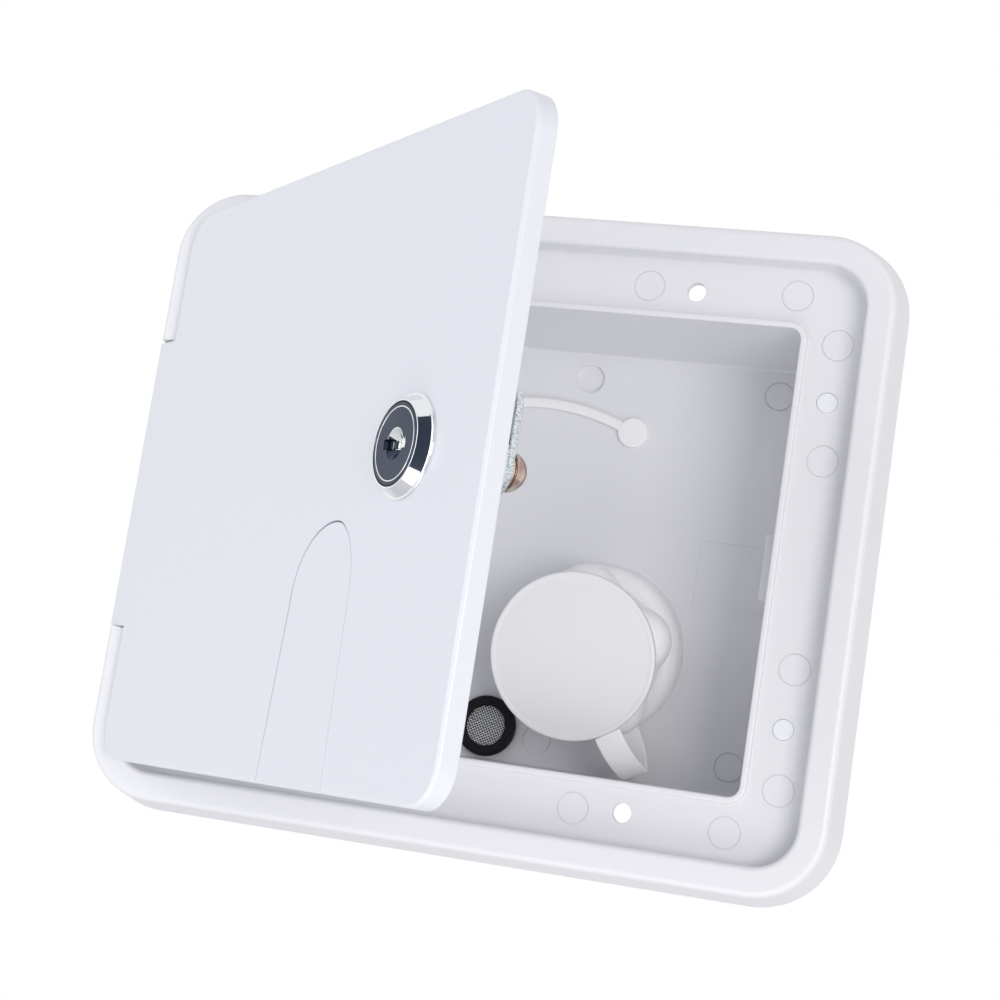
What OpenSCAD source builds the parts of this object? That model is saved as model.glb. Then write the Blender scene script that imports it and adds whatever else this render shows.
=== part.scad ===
// Water fill hatch, millimetres.
// The origin is the centre of the flange's wall face. X is right, Z is up and the front faces -Y.
// Each piece is drawn in wall coordinates: X right, Y up and Z out of the wall, then stood up.

/* [Frame] */
// Width of the front outline
frame_w = 190; // [170:0.5:220]
// Height of the front outline
frame_h = 160.6; // [140:0.2:190]
// Height of the frame in front of the wall
frame_t = 12; // [9:0.5:16]
// Outward flare of the side wall over that height
flare = 2.4; // [1:0.1:4]
// Corner radius of the front outline
frame_r = 17.5; // [10:0.5:30]
// Half width of the recess that the door closes into
rec_x = 88; // [80:0.5:95]
// Half height of the recess
rec_z = 72.8; // [60:0.2:78]
// Height of the recess land in front of the wall
land_h = 4.6; // [3:0.1:8]
// Thickness of the land
land_t = 2.5; // [1.5:0.1:4]
// Half width of the pocket opening
open_x = 72.3; // [60:0.1:76]
// Half height of the pocket opening
open_z = 57.9; // [50:0.1:62]
// Corner radius of the opening
open_r = 3; // [2:0.5:8]
// Width of the raised lip round the opening
lip_w = 1.6; // [1:0.1:3]
// Height of the raised lip above the land
lip_h = 1.7; // [0.5:0.1:3]
// Screw hole position along X
screw_x = 44.5; // [30:0.5:60]
// Screw hole position along Z
screw_z = 65.4; // [62:0.1:68]
// Screw hole radius
screw_r = 2.45; // [1.5:0.05:3]
// Blind knock-out position along X
knock_x = 80.6; // [78:0.1:84]
// Blind knock-out position along Z
knock_z = 40.2; // [20:0.1:55]
// Blind knock-out radius
knock_r = 2.6; // [1.5:0.1:4]

/* [Pocket] */
// Depth of the pocket's back wall behind the wall face
pocket_d = 36; // [25:0.5:60]
// Wall thickness of the pocket
pocket_t = 2; // [1.5:0.1:4]
// Draft of the pocket's walls over its depth
draft = 1.3; // [0:0.1:3]
// Half height of the strike
strike_z = 8.4; // [5:0.1:12]
// Inner end of the strike
strike_x = 68.6; // [65:0.1:71]
// Half height of the slot behind the strike that the cam turns into
slot_z = 12; // [9:0.5:16]
// Front of the strike behind the front face
strike_d = 17.4; // [15:0.1:20]

/* [Inlet] */
// Inlet position along X
inlet_x = 23.2; // [0:0.1:40]
// Inlet position along Z
inlet_z = -23.6; // [-35:0.1:0]
// Downward tilt of the inlet, degrees
inlet_tilt = 9.7; // [0:0.1:20]
// Radius of the base flange
base_r = 22.8; // [18:0.1:28]
// Radius of the neck
neck_r = 15; // [12:0.1:18]
// Bore of the neck
neck_bore = 12; // [8:0.1:14]
// Reach of the collar's lobes
lobe_r = 23.4; // [20:0.1:26]
// Radius of the cap disc
cap_r = 21.5; // [18:0.1:25]
// Front of the cap along the inlet axis
cap_s = 28.4; // [25:0.1:34]
// Direction of the cap's strap round the inlet axis, degrees
strap_a = -58.6; // [-80:0.1:-40]
// Radius of the strap's long bends
strap_r = 12.2; // [10:0.1:18]
// Radius of the rear hose spout
spout_r = 19; // [12:0.5:22]
// Rear end of the spout behind the wall face
spout_d = 72; // [55:1:90]
// Radius of the thread that the back nut screws onto
thread_r = 20; // [16:0.5:24]
// Thickness of the back nut
nut_t = 5; // [3:0.5:8]

/* [Door] */
// Opening angle of the door in the photo, degrees
door_open = 43; // [0:1:120]
// Hinge axis along X
hinge_x = -91.1; // [-93:0.1:-88]
// Hinge axis in front of the wall
hinge_h = 7.9; // [6:0.1:9]
// Radius of the hinge barrel
barrel_r = 4.1; // [3:0.1:5]
// Half length of the hinge barrel
barrel_z = 38.6; // [25:0.1:50]
// Left edge of the panel
door_x0 = -86; // [-87:0.1:-80]
// Right edge of the panel
door_x1 = 86.8; // [80:0.1:87.5]
// Half height of the panel
door_z = 71.6; // [65:0.1:72.3]
// Corner radius of the panel
door_r = 9.3; // [5:0.1:14]
// Height of the panel's edge
door_t = 4.75; // [3:0.05:6]
// Thickness of the panel's skin
skin_t = 2.5; // [1.5:0.1:4]
// Centre of the hose flap's arch along X
flap_x = 26.2; // [15:0.1:40]
// Radius of the hose flap's arch
flap_r = 13.9; // [10:0.1:20]
// Centre of the flap's arch along Z
flap_z = -28.2; // [-45:0.1:-20]
// Left foot of the hose flap
flap_x0 = 9.1; // [0:0.1:20]
// Right foot of the hose flap
flap_x1 = 40.6; // [30:0.1:50]
// Gap round the flap
flap_gap = 0.35; // [0.1:0.05:0.8]

/* [Lock] */
// Lock position along X on the closed door
lock_x = 54.4; // [50:0.1:62]
// Lock position along Z
lock_z = 0.2; // [-5:0.1:5]
// Radius of the chrome bezel
bezel_r = 11.3; // [9:0.1:14]
// Radius of the lock's face
face_r = 8.75; // [7:0.05:10]
// Reach of the face in front of the door
face_h = 3; // [2:0.1:6]
// Radius of the threaded barrel
lock_r = 8; // [7:0.1:10]
// Half width over the barrel's two flats
flat_x = 6.6; // [5:0.1:8]
// Back of the cam behind the door's front
cam_d = 22; // [20:0.1:26]
// Thickness of the cam
cam_t = 1.8; // [1:0.1:3]
// Length of the cam from the lock's axis
cam_l = 18.9; // [14:0.1:22]
// Half width of the cam
cam_w = 6.4; // [4:0.1:8]
// Radius of the cam screw's round head
head_r = 4.5; // [3:0.1:6]

/* [Hidden] */
$fn = 96;

// Stands wall coordinates up in the part's frame.
module wall() {
  rotate([90, 0, 0]) children();
}

// Places closed-door wall coordinates on the open door.
module on_door() {
  translate([hinge_x, -hinge_h, 0])
    rotate([0, 0, -door_open])
      translate([-hinge_x, hinge_h, 0])
        wall() children();
}

// Places the lock's own frame on the open door, with Z = 0 at the door's front.
module on_lock() {
  on_door() translate([lock_x, lock_z, frame_t]) children();
}

// Places the inlet's own frame, with Z along the inlet axis.
module on_inlet() {
  wall() translate([inlet_x, inlet_z, -pocket_d]) rotate([inlet_tilt, 0, 0]) children();
}

// Sweeps a profile of distance out and height round four corner centres.
module round_loop(x0, x1, y0, y1) {
  translate([x1, y1, 0]) rotate_extrude(angle = 90) children();
  translate([x0, y1, 0]) rotate([0, 0, 90]) rotate_extrude(angle = 90) children();
  translate([x0, y0, 0]) rotate([0, 0, 180]) rotate_extrude(angle = 90) children();
  translate([x1, y0, 0]) rotate([0, 0, 270]) rotate_extrude(angle = 90) children();
  translate([x0, y1, 0]) rotate([90, 0, 90]) linear_extrude(x1 - x0) children();
  translate([x1, y0, 0]) rotate([90, 0, -90]) linear_extrude(x1 - x0) children();
  translate([x1, y1, 0]) rotate([90, 0, 0]) linear_extrude(y1 - y0) children();
  translate([x0, y0, 0]) rotate([90, 0, 180]) linear_extrude(y1 - y0) children();
}

// A plate with round corners between two heights.
module plate(x0, x1, y0, y1, r, z0, z1) {
  translate([0, 0, z0]) linear_extrude(z1 - z0) union() {
    translate([x0 + r, y0]) square([x1 - x0 - 2 * r, y1 - y0]);
    translate([x0, y0 + r]) square([x1 - x0, y1 - y0 - 2 * r]);
    for (x = [x0 + r, x1 - r]) for (y = [y0 + r, y1 - r]) translate([x, y]) circle(r);
  }
}

// A quarter disc that rounds an outer corner.
module quarter(r, a) {
  rotate(a) intersection() {
    circle(r);
    square(r + 1);
  }
}

// A box between two corners.
module box(a, b) {
  translate(a) cube([b[0] - a[0], b[1] - a[1], b[2] - a[2]]);
}

// Section of the frame's ring: flared outer skirt, front face and recess wall.
module ring_section() {
  ri = frame_r - (frame_w / 2 - rec_x);
  ro = frame_r;
  c = ro - 1.47;
  polygon([
    [ro + flare, 0], [c + 1.765, frame_t - 1.45], [c, frame_t], [ri + 1.2, frame_t],
    [ri, frame_t - 1.2], [ri, land_h - land_t], [ri + 2.2, land_h - land_t],
    [ri + 2.2, frame_t - 2.5], [ro - 2.1, frame_t - 2.5], [ro - 0.1, 0]
  ]);
  translate([c, frame_t - 1.8]) quarter(1.8, 0);
  translate([ri + 1.2, frame_t - 1.2]) quarter(1.2, 90);
}

// Section of the raised lip round the opening.
module lip_section() {
  top = land_h + lip_h;
  translate([open_r, land_h - land_t]) square([lip_w, land_t + lip_h - 0.5]);
  translate([open_r + 0.5, land_h]) square([lip_w - 1, lip_h]);
  translate([open_r + 0.5, top - 0.5]) quarter(0.5, 90);
  translate([open_r + lip_w - 0.5, top - 0.5]) quarter(0.5, 0);
}

// A rib across the hollow rim between two points.
module rib(a, b) {
  t = 0.7;
  x = abs(b[0] - a[0]) < 0.1 ? t : 0;
  y = t - x;
  box([min(a[0], b[0]) - x, min(a[1], b[1]) - y, 1], [max(a[0], b[0]) + x, max(a[1], b[1]) + y, frame_t - 2]);
}

module front_frame() {
  cx = frame_w / 2 - frame_r;
  cz = frame_h / 2 - frame_r;
  low = land_h - land_t;
  color("white") wall() difference() {
    union() {
      round_loop(-cx, cx, -cz, cz) ring_section();
      difference() {
        plate(-rec_x - 1, rec_x + 1, -rec_z - 1, rec_z + 1, 11.5, low, land_h);
        plate(-open_x - 0.5, open_x + 0.5, -open_z - 0.5, open_z + 0.5, 3.5, low - 1, land_h + 1);
      }
      round_loop(-open_x + open_r, open_x - open_r, -open_z + open_r, open_z - open_r) lip_section();
      for (x = [-62, -24, 24, 62]) for (s = [-1, 1])
        rib([x, s * (rec_z + 1)], [x, s * frame_h / 2]);
      for (z = [-54, -18, 18, 54]) rib([rec_x + 1, z], [frame_w / 2, z]);
      for (z = [-54, 54]) rib([-frame_w / 2, z], [-rec_x - 1, z]);
      box([-95.4, -43, 1], [-87.5, 43, frame_t - 2]);
    }
    for (x = [-screw_x, screw_x]) for (z = [-screw_z, screw_z])
      translate([x, z, -1]) cylinder(r = screw_r, h = land_h + 3);
    for (x = [-knock_x, knock_x]) for (z = [-knock_z, knock_z])
      translate([x, z, land_h - 0.5]) cylinder(r = knock_r, h = 3);
    box([-99, -barrel_z - 0.5, hinge_h - barrel_r - 0.5], [-86.6, barrel_z + 0.5, frame_t + 2]);
    translate([hinge_x, 42.5, hinge_h]) rotate([90, 0, 0]) cylinder(r = 1.5, h = 85);
  }
}

// How far the drafted walls have come in at a height.
function drawn_in(h) = draft * (land_h - land_t - h) / (land_h - land_t + pocket_d);

// Section of the pocket's drafted wall, with its round foot and a strip of the floor.
module pocket_section() {
  top = land_h - land_t;
  low = -pocket_d - pocket_t;
  out = open_r + pocket_t;
  foot = out - drawn_in(low + 2);
  round = 0.6;
  in = open_r - drawn_in(-pocket_d + round);
  difference() {
    union() {
      polygon([[0, top], [out, top], [foot, low + 2], [foot - 2, low], [0, low]]);
      translate([foot - 2, low + 2]) quarter(2, 270);
    }
    polygon([
      [-1, top + 1], [open_r, top + 1], [open_r, top], [in, -pocket_d + round],
      [in - round, -pocket_d + round], [in - round, -pocket_d], [-1, -pocket_d]
    ]);
    translate([in - round, -pocket_d + round]) quarter(round, 270);
  }
}

module pocket_shell() {
  x = open_x - open_r;
  z = open_z - open_r;
  color("gainsboro") wall() difference() {
    union() {
      round_loop(-x, x, -z, z) pocket_section();
      box([-x, -z, -pocket_d - pocket_t], [x, z, -pocket_d]);
    }
    box([open_x - 3, -slot_z, frame_t - cam_d - 6], [open_x + pocket_t + 1, slot_z, frame_t - strike_d - 2]);
    box([46.5, -8.7, -pocket_d - 0.3], [open_x - 2.6, 8.7, -pocket_d + 1]);
    translate([inlet_x, inlet_z, -pocket_d - pocket_t - 1]) cylinder(r = thread_r + 0.15, h = pocket_t + 2);
  }
}

module latch_strike() {
  h = frame_t - strike_d;
  color("whitesmoke") wall() translate([0, strike_z - 0.4, 0]) rotate([90, 0, 0]) linear_extrude(2 * strike_z)
    polygon([
      [strike_x, h - 2], [open_x - drawn_in(h - 2), h - 2], [open_x - drawn_in(h), h], [strike_x, h]
    ]);
}

module hinge_pin() {
  color("silver") wall()
    translate([hinge_x, 42.5, hinge_h]) rotate([90, 0, 0]) cylinder(r = 1.5, h = 85);
}

module inlet_base() {
  color("white") difference() {
    on_inlet() rotate_extrude() {
      difference() {
        union() {
          translate([0, -5]) square([base_r, 8.5]);
          translate([0, 3]) square([base_r - 4, 4.5]);
          translate([base_r - 4, 3.5]) quarter(4, 0);
          translate([0, 3]) square([neck_r, 22.5]);
        }
        translate([-1, -6]) square([neck_bore + 1, 40]);
      }
    }
    wall() box([-60, -60, -pocket_d - 12], [90, 60, -pocket_d]);
  }
}

module inlet_spout() {
  shoulder = spout_d - pocket_d - pocket_t - nut_t - 1;
  color("white") wall() translate([inlet_x, inlet_z, -spout_d]) rotate_extrude() {
    difference() {
      polygon([
        [spout_r - 2, 0], [spout_r - 0.8, 0], [spout_r, 0.8], [spout_r, shoulder],
        [thread_r, shoulder], [thread_r, spout_d - pocket_d], [spout_r - 2, spout_d - pocket_d]
      ]);
      for (z = [4, 9, 14]) translate([spout_r - 0.5, z]) square([1, 1.2]);
    }
  }
}

module inlet_back_nut() {
  color("whitesmoke") wall() translate([inlet_x, inlet_z, -pocket_d - pocket_t - nut_t]) difference() {
    cylinder(r = thread_r + 6, h = nut_t);
    translate([0, 0, -1]) cylinder(r = thread_r + 0.1, h = nut_t + 2);
  }
}

// Outline of the collar: five lobes that flow into the ring between them.
module collar_outline() {
  ring = 20;
  c = lobe_r - 6.7;
  f = 6;
  d = ring + f - 0.03;
  e = 7 + f - 0.03;
  a = acos((d * d + c * c - e * e) / (2 * c * d));
  circle(ring);
  for (i = [0:4]) rotate(20 + 72 * i) {
    translate([c, 0]) circle(7);
    difference() {
      polygon([[0, 0], d * [cos(a), -sin(a)], [c, 0], d * [cos(a), sin(a)]]);
      for (s = [-1, 1]) translate(d * [cos(a), s * sin(a)]) circle(f);
    }
  }
}

// Section of the collar's body, rounded at both ends.
module collar_section() {
  r = lobe_r - 3;
  translate([0, 9.5]) square([r, 13]);
  translate([0, 12.5]) square([lobe_r, 7]);
  translate([r, 12.5]) quarter(3, 270);
  translate([r, 19.5]) quarter(3, 0);
}

module inlet_collar() {
  color("white") on_inlet() difference() {
    intersection() {
      translate([0, 0, 9]) linear_extrude(14) collar_outline();
      rotate_extrude() collar_section();
    }
    translate([0, 0, 9]) cylinder(r = neck_r + 0.4, h = 14);
  }
}

// A flat arc of width w between two angles at most 180 degrees apart.
module arc(r, w, a0, a1) {
  m = (a0 + a1) / 2;
  k = 2 * r / cos((a1 - a0) / 4);
  intersection() {
    difference() {
      circle(r + w / 2);
      circle(r - w / 2);
    }
    polygon([
      [0, 0], 2 * r * [cos(a0), sin(a0)], k * [cos((a0 + m) / 2), sin((a0 + m) / 2)], 2 * r * [cos(m), sin(m)],
      k * [cos((a1 + m) / 2), sin((a1 + m) / 2)], 2 * r * [cos(a1), sin(a1)]
    ]);
  }
}

module tether_strap() {
  w = 3.2;
  color("white") wall() translate([0, 0, -pocket_d]) {
    translate([24, 35.7, 0]) cylinder(r = 4.1, h = 1.8);
    linear_extrude(1.2) {
      translate([-2.3, -20]) arc(61.5, w, 64.7, 90);
      translate([-2.3, 1.5]) arc(40, w, 90, 180);
      translate([-20.3, 1.5]) arc(22, w, 180, 270);
      translate([-20.3, -20.5 - w / 2]) square([20.6, w]);
    }
  }
}

// Places the washer leaning on the pocket's back wall.
module on_washer() {
  wall() translate([-3.8, -47.7, -pocket_d + 1.7]) rotate([-2, 0, 0]) children();
}

module filter_washer() {
  color("black") on_washer() difference() {
    translate([0, 0, -1.3]) cylinder(r = 8.05, h = 2.6);
    translate([0, 0, -2]) cylinder(r = 5.35, h = 4);
  }
}

module filter_screen() {
  color("silver") on_washer() translate([0, 0, -0.25]) cylinder(r = 5.35, h = 0.5);
}

// Section of the door's edge: rounded front corner and rim.
module door_section() {
  lo = frame_t - door_t;
  translate([0, frame_t - skin_t]) square([door_r - 0.8, skin_t]);
  translate([door_r - 2.2, lo]) square([2.2, door_t - 0.8]);
  translate([door_r - 0.8, frame_t - 0.8]) quarter(0.8, 0);
}

// Where the flap's straight side on side s, from a foot at f, meets its arch of radius r.
function flap_side(s, f, r) = let(
    d = [f - flap_x, -door_z - 1 - flap_z],
    a = atan2(d[1], d[0]) + s * acos((r - 0.05) / norm(d))
  ) [flap_x, flap_z] + (r - 0.05) * [cos(a), sin(a)];

// Outline of the hose flap, grown by g.
module flap_shape(g) {
  r = flap_r + g;
  foot = -door_z - 1;
  translate([flap_x, flap_z]) circle(r);
  polygon([
    [flap_x0 - g, foot], flap_side(-1, flap_x0 - g, r), [flap_x, flap_z],
    flap_side(1, flap_x1 + g, r), [flap_x1 + g, foot]
  ]);
}

// The barrel's outer form: a round rod with two flats.
module barrel(h) {
  intersection() {
    cylinder(r = lock_r, h = h);
    box([-flat_x, -lock_r - 1, -1], [flat_x, lock_r + 1, h + 1]);
  }
}

module door_panel() {
  lo = frame_t - skin_t;
  r = door_r;
  color("white") on_door() difference() {
    union() {
      round_loop(door_x0 + r, door_x1 - r, -door_z + r, door_z - r) door_section();
      box([door_x0 + r, -door_z + r, lo], [door_x1 - r, door_z - r, frame_t]);
      box([hinge_x, -barrel_z, lo], [door_x0 + 3, barrel_z, frame_t]);
      translate([hinge_x, barrel_z, hinge_h]) rotate([90, 0, 0]) cylinder(r = barrel_r, h = 2 * barrel_z);
      translate([lock_x, lock_z, lo - 1.5]) cylinder(r = 13, h = 2);
    }
    translate([hinge_x, barrel_z + 1, hinge_h]) rotate([90, 0, 0]) cylinder(r = 1.65, h = 2 * barrel_z + 2);
    translate([lock_x, lock_z, lo - 3]) barrel(8);
    translate([0, 0, frame_t - door_t - 1]) linear_extrude(door_t + 2) flap_shape(flap_gap);
  }
}

// The flap fills the arch and is clipped in by a wider flange behind the door's skin.
module hose_flap() {
  low = frame_t - skin_t;
  color("white") on_door() union() {
    intersection() {
      translate([0, 0, low - 1.5]) linear_extrude(skin_t + 1.5) flap_shape(0);
      box([0, -door_z, 0], [60, 0, 20]);
    }
    intersection() {
      translate([0, 0, low - 1.5]) linear_extrude(1.5) flap_shape(3);
      box([0, -door_z + 2.7, 0], [60, 0, 20]);
    }
  }
}

module lock_bezel() {
  color("silver") on_lock() rotate_extrude()
    polygon([
      [face_r + 0.2, 0], [bezel_r, 0], [bezel_r, 0.4], [bezel_r - 0.5, 0.8],
      [face_r + 0.45, face_h], [face_r + 0.2, face_h]
    ]);
}

module lock_barrel() {
  h = cam_d - cam_t - 0.1;
  color("silver") on_lock() translate([0, 0, -h]) difference() {
    barrel(h);
    translate([0, 0, -1]) cylinder(r = 5.6, h = h + 2);
  }
}

module lock_nut() {
  color("silver") on_lock() translate([0, 0, -skin_t - 1.5 - 3.5]) difference() {
    cylinder(r = 12, h = 3.5, $fn = 6);
    translate([0, 0, -1]) cylinder(r = lock_r, h = 6);
  }
}

// The turning plug: a round face with a turned ring, a countersink and the key's slot.
module lock_plug() {
  ring = face_r - 0.95;
  color("dimgray") on_lock() difference() {
    union() {
      translate([0, 0, 0.2]) cylinder(r = face_r, h = face_h - 0.2);
      translate([0, 0, cam_t - cam_d]) cylinder(r = 5.5, h = cam_d);
    }
    translate([0, 0, face_h - 0.2]) difference() {
      cylinder(r = ring + 0.2, h = 1);
      translate([0, 0, -1]) cylinder(r = ring - 0.2, h = 3);
    }
    translate([0, 0, face_h - 1.8]) cylinder(r1 = 1.5, r2 = 3.3, h = 1.81);
    box([-4.6, -1.1, face_h - 1.1], [4.6, 1.1, face_h + 1]);
  }
}

module lock_cam() {
  end = cam_l - cam_w;
  color("silver") on_lock() translate([0, 0, -cam_d]) {
    cylinder(r = cam_w, h = cam_t);
    box([-cam_w, 0, 0], [cam_w, end, cam_t]);
    translate([0, end, 0]) cylinder(r = cam_w, h = cam_t);
  }
}

// A round headed screw on its spring washer.
module cam_screw() {
  color("tan") on_lock() translate([0, 0, -cam_d]) rotate([180, 0, 0]) rotate_extrude() {
    square([head_r - 0.4, 1.8]);
    translate([0, 1.8]) quarter(head_r, 0);
  }
}

module cap_disc() {
  color("white") on_inlet() rotate_extrude() {
    translate([0, cap_s - 1.9]) square([cap_r, 1.5]);
    translate([0, cap_s - 1.9]) square([cap_r - 0.4, 1.9]);
    translate([cap_r - 0.4, cap_s - 0.4]) quarter(0.4, 0);
    translate([neck_r + 0.4, 23.5]) square([2.1, cap_s - 1.9 - 23.5]);
  }
}

module cap_plug() {
  color("white") on_inlet() translate([0, 0, 18]) cylinder(r = neck_bore - 0.3, h = cap_s - 1.9 - 18);
}

// The filled shape inside a strap of two long bends that meet at the loop's far end.
module leaf(r, top, low) {
  intersection() {
    translate([cap_r + 0.1, top - strap_r]) circle(r);
    translate([cap_r + 0.1, low + strap_r]) circle(r);
  }
}

// The strap's loop in its own plane, from the cap's rim round and back under the collar.
module loop_line(t) {
  top = cap_s - 0.8;
  low = 8.25;
  difference() {
    intersection() {
      leaf(strap_r + t / 2, top, low);
      translate([cap_r + 0.1, 0]) square([40, 40]);
    }
    leaf(strap_r - t / 2, top, low);
  }
  translate([17, low - t / 2]) square([cap_r + 0.1 - 17, t]);
}

module cap_strap() {
  w = 6;
  color("white") on_inlet() {
    rotate([0, 0, strap_a]) translate([0, w / 2, 0]) rotate([90, 0, 0]) linear_extrude(w) loop_line(1);
    translate([0, 0, 7.5]) difference() {
      cylinder(r = 18.4, h = 1.5);
      translate([0, 0, -1]) cylinder(r = neck_r + 0.15, h = 4);
    }
  }
}

front_frame();
pocket_shell();
latch_strike();
hinge_pin();
inlet_base();
inlet_spout();
inlet_back_nut();
inlet_collar();
tether_strap();
filter_washer();
filter_screen();
door_panel();
hose_flap();
lock_bezel();
lock_barrel();
lock_nut();
lock_plug();
lock_cam();
cam_screw();
cap_disc();
cap_plug();
cap_strap();
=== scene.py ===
import math

import bmesh
import bpy
import numpy as np
from mathutils import Matrix, Vector


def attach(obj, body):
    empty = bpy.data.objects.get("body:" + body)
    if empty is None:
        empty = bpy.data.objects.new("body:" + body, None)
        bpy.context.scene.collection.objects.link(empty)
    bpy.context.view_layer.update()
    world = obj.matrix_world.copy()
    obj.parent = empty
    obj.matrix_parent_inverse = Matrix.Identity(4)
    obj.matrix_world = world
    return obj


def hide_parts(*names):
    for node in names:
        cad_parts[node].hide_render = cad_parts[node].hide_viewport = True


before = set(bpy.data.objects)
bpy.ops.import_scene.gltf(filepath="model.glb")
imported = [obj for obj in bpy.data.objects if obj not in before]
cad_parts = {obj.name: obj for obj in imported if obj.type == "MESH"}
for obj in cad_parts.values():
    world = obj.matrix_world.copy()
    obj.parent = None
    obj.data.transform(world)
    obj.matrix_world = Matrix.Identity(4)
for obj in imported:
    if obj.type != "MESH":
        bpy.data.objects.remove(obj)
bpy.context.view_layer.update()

# Viewpoint
# The photograph is taken from half a metre in front, right of the middle and a little below it,
# with the camera rolled so that the hatch leans to the right.
camera_place = Vector((0.154577, -0.511608, -0.069508))
camera_look = Vector((-0.285203, 0.947625, 0.143760))
camera_up = Vector((-0.106424, -0.180369, 0.977825))
camera_lens = 76.23
camera = bpy.data.objects.new("camera", bpy.data.cameras.new("camera"))
camera.data.sensor_width = 36
camera.data.lens = camera_lens
camera.data.clip_start = 0.01
camera_turn = Matrix((camera_look.cross(camera_up), camera_up, -camera_look)).transposed()
camera.matrix_world = Matrix.Translation(camera_place) @ camera_turn.to_4x4()
bpy.context.scene.collection.objects.link(camera)
bpy.context.scene.camera = camera

# Front frame
# One injection moulding in white ABS that screws flat on the wall: a flared rim, a recess for
# the door, a flat land with four screw holes and four plugged blind holes, and a raised lip
# round the opening.
MM = 0.001
rim_half = np.array([95.0, 80.3])
rim_round = 17.5
rim_top = 12.0
land_top = 4.6
land_under = 2.1
opening_half = np.array([72.3, 57.9])
opening_round = 3.0
screw_place = (44.5, 65.4)
screw_hole = 2.45
knock_out_place = (80.6, 40.2)
knock_out_radius = 2.6
ejector_spots = ((32.3, 66.0), (69.9, 66.4), (81.4, 54.7), (81.4, 25.6))
ejector_radius = 4.0
tongue_reach = (37.5, 38.6)


def stand_up(points):
    """Wall coordinates in mm (x right, y up, z out of the wall) as metres: (x, -z, y)."""
    x, y, z = np.moveaxis(np.asarray(points, float), -1, 0)
    return np.stack([x, -z, y], -1) * MM


def bend(centre, radius, start, end, steps=6):
    """Points on a round edge: centre plus radius times (cos, sin) from start to end, degrees."""
    turn = np.radians(np.linspace(start, end, steps + 1))
    return np.array(centre) + radius * np.stack([np.cos(turn), np.sin(turn)], -1)


def section(*parts, hold=0.12, straight=0.8):
    """Joins points and bends to one outline. A straight run longer than the given length gets a
    point near each of its ends, at hold mm, so that the shading of a round edge stays in it."""
    line = np.vstack([np.atleast_2d(part) for part in parts]).astype(float)
    step = np.diff(line, axis=0)
    length = np.hypot(*step.T)[:, None]
    unit = step / np.maximum(length, 1e-9)
    made = np.stack([line[:-1], line[:-1] + hold * unit, line[1:] - hold * unit], 1)
    long = length[:, 0] > straight
    keep = np.stack([np.ones_like(long), long, long], 1)
    return np.vstack([made[keep], line[-1:]])


def rings(rows, centre=(0.0, 0.0), steps=14, hold=0.4):
    """Rounded rectangles, one for each row of half width, half height, corner radius and height.
    Each corner is the corner's centre plus its radius times (cos, sin) over a quarter turn, with
    one more point hold mm along the straight side at each end."""
    half_x, half_y, radius, height = (column[:, None] for column in np.asarray(rows, float).T)
    quarter = np.radians(np.r_[0, np.linspace(0, 90, steps + 1), 90])
    along = np.r_[-hold, np.zeros(steps + 1), hold]
    turn = (quarter + np.radians([[0], [90], [180], [270]])).ravel()
    along = np.tile(along, 4)
    side_x = np.repeat([1, -1, -1, 1], steps + 3)
    side_y = np.repeat([1, 1, -1, -1], steps + 3)
    x = centre[0] + side_x * (half_x - radius) + radius * np.cos(turn) - along * np.sin(turn)
    y = centre[1] + side_y * (half_y - radius) + radius * np.sin(turn) + along * np.cos(turn)
    return np.stack([x, y, height + 0 * x], -1)


def inset_rows(profile, half, radius):
    """Rows for rings from a profile of distance in from an outline and height."""
    inset, height = np.asarray(profile, float).T
    return np.stack([half[0] - inset, half[1] - inset, radius - inset, height], -1)


def skin(points, loop=False):
    """Quads between neighbouring closed rings. The last ring joins the first, or both ends are
    filled with one flat face."""
    count, around = points.shape[:2]
    here = np.arange(count * around).reshape(count, around)
    ahead = np.roll(here, -1, 1)
    later, later_ahead = np.roll(here, -1, 0), np.roll(ahead, -1, 0)
    last = count if loop else count - 1
    quads = np.stack([here, ahead, later_ahead, later], -1)[:last].reshape(-1, 4).tolist()
    ends = [] if loop else [here[0, ::-1].tolist(), here[-1].tolist()]
    return points.reshape(-1, 3), quads + ends


def several(shape, places):
    """The same shape at several places, as one mesh."""
    points, faces = shape
    moved = points[None] + np.asarray(places, float)[:, None]
    copies = [[i + n * len(points) for i in face] for n in range(len(places)) for face in faces]
    return moved.reshape(-1, 3), copies


def block(low, high):
    """A box between two corners, as two square rings."""
    x0, y0, z0 = low
    x1, y1, z1 = high
    flat = np.array([[x0, y0], [x1, y0], [x1, y1], [x0, y1]], float)
    return skin(np.array([np.c_[flat, np.full(4, z)] for z in (z0, z1)]))


def lathe(profile, steps=96):
    """A profile of radius and height turned round the z axis: (r cos a, r sin a, z)."""
    radius, height = np.asarray(profile, float).T
    turn = np.linspace(0, 2 * math.pi, steps, endpoint=False)
    x, y = radius[:, None] * np.cos(turn), radius[:, None] * np.sin(turn)
    return np.stack([x, y, height[:, None] + 0 * x], -1)


def solid(name, shape, place=stand_up):
    """A closed mesh object with its doubles merged and its faces pointing out."""
    points, faces = shape
    mesh = bpy.data.meshes.new(name)
    mesh.from_pydata(place(points).tolist(), [], faces)
    made = bpy.data.objects.new(name, mesh)
    bpy.context.scene.collection.objects.link(made)
    work = bmesh.new()
    work.from_mesh(mesh)
    bmesh.ops.remove_doubles(work, verts=work.verts, dist=1e-7)
    bmesh.ops.recalc_face_normals(work, faces=work.faces)
    work.to_mesh(mesh)
    work.free()
    return made


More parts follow.
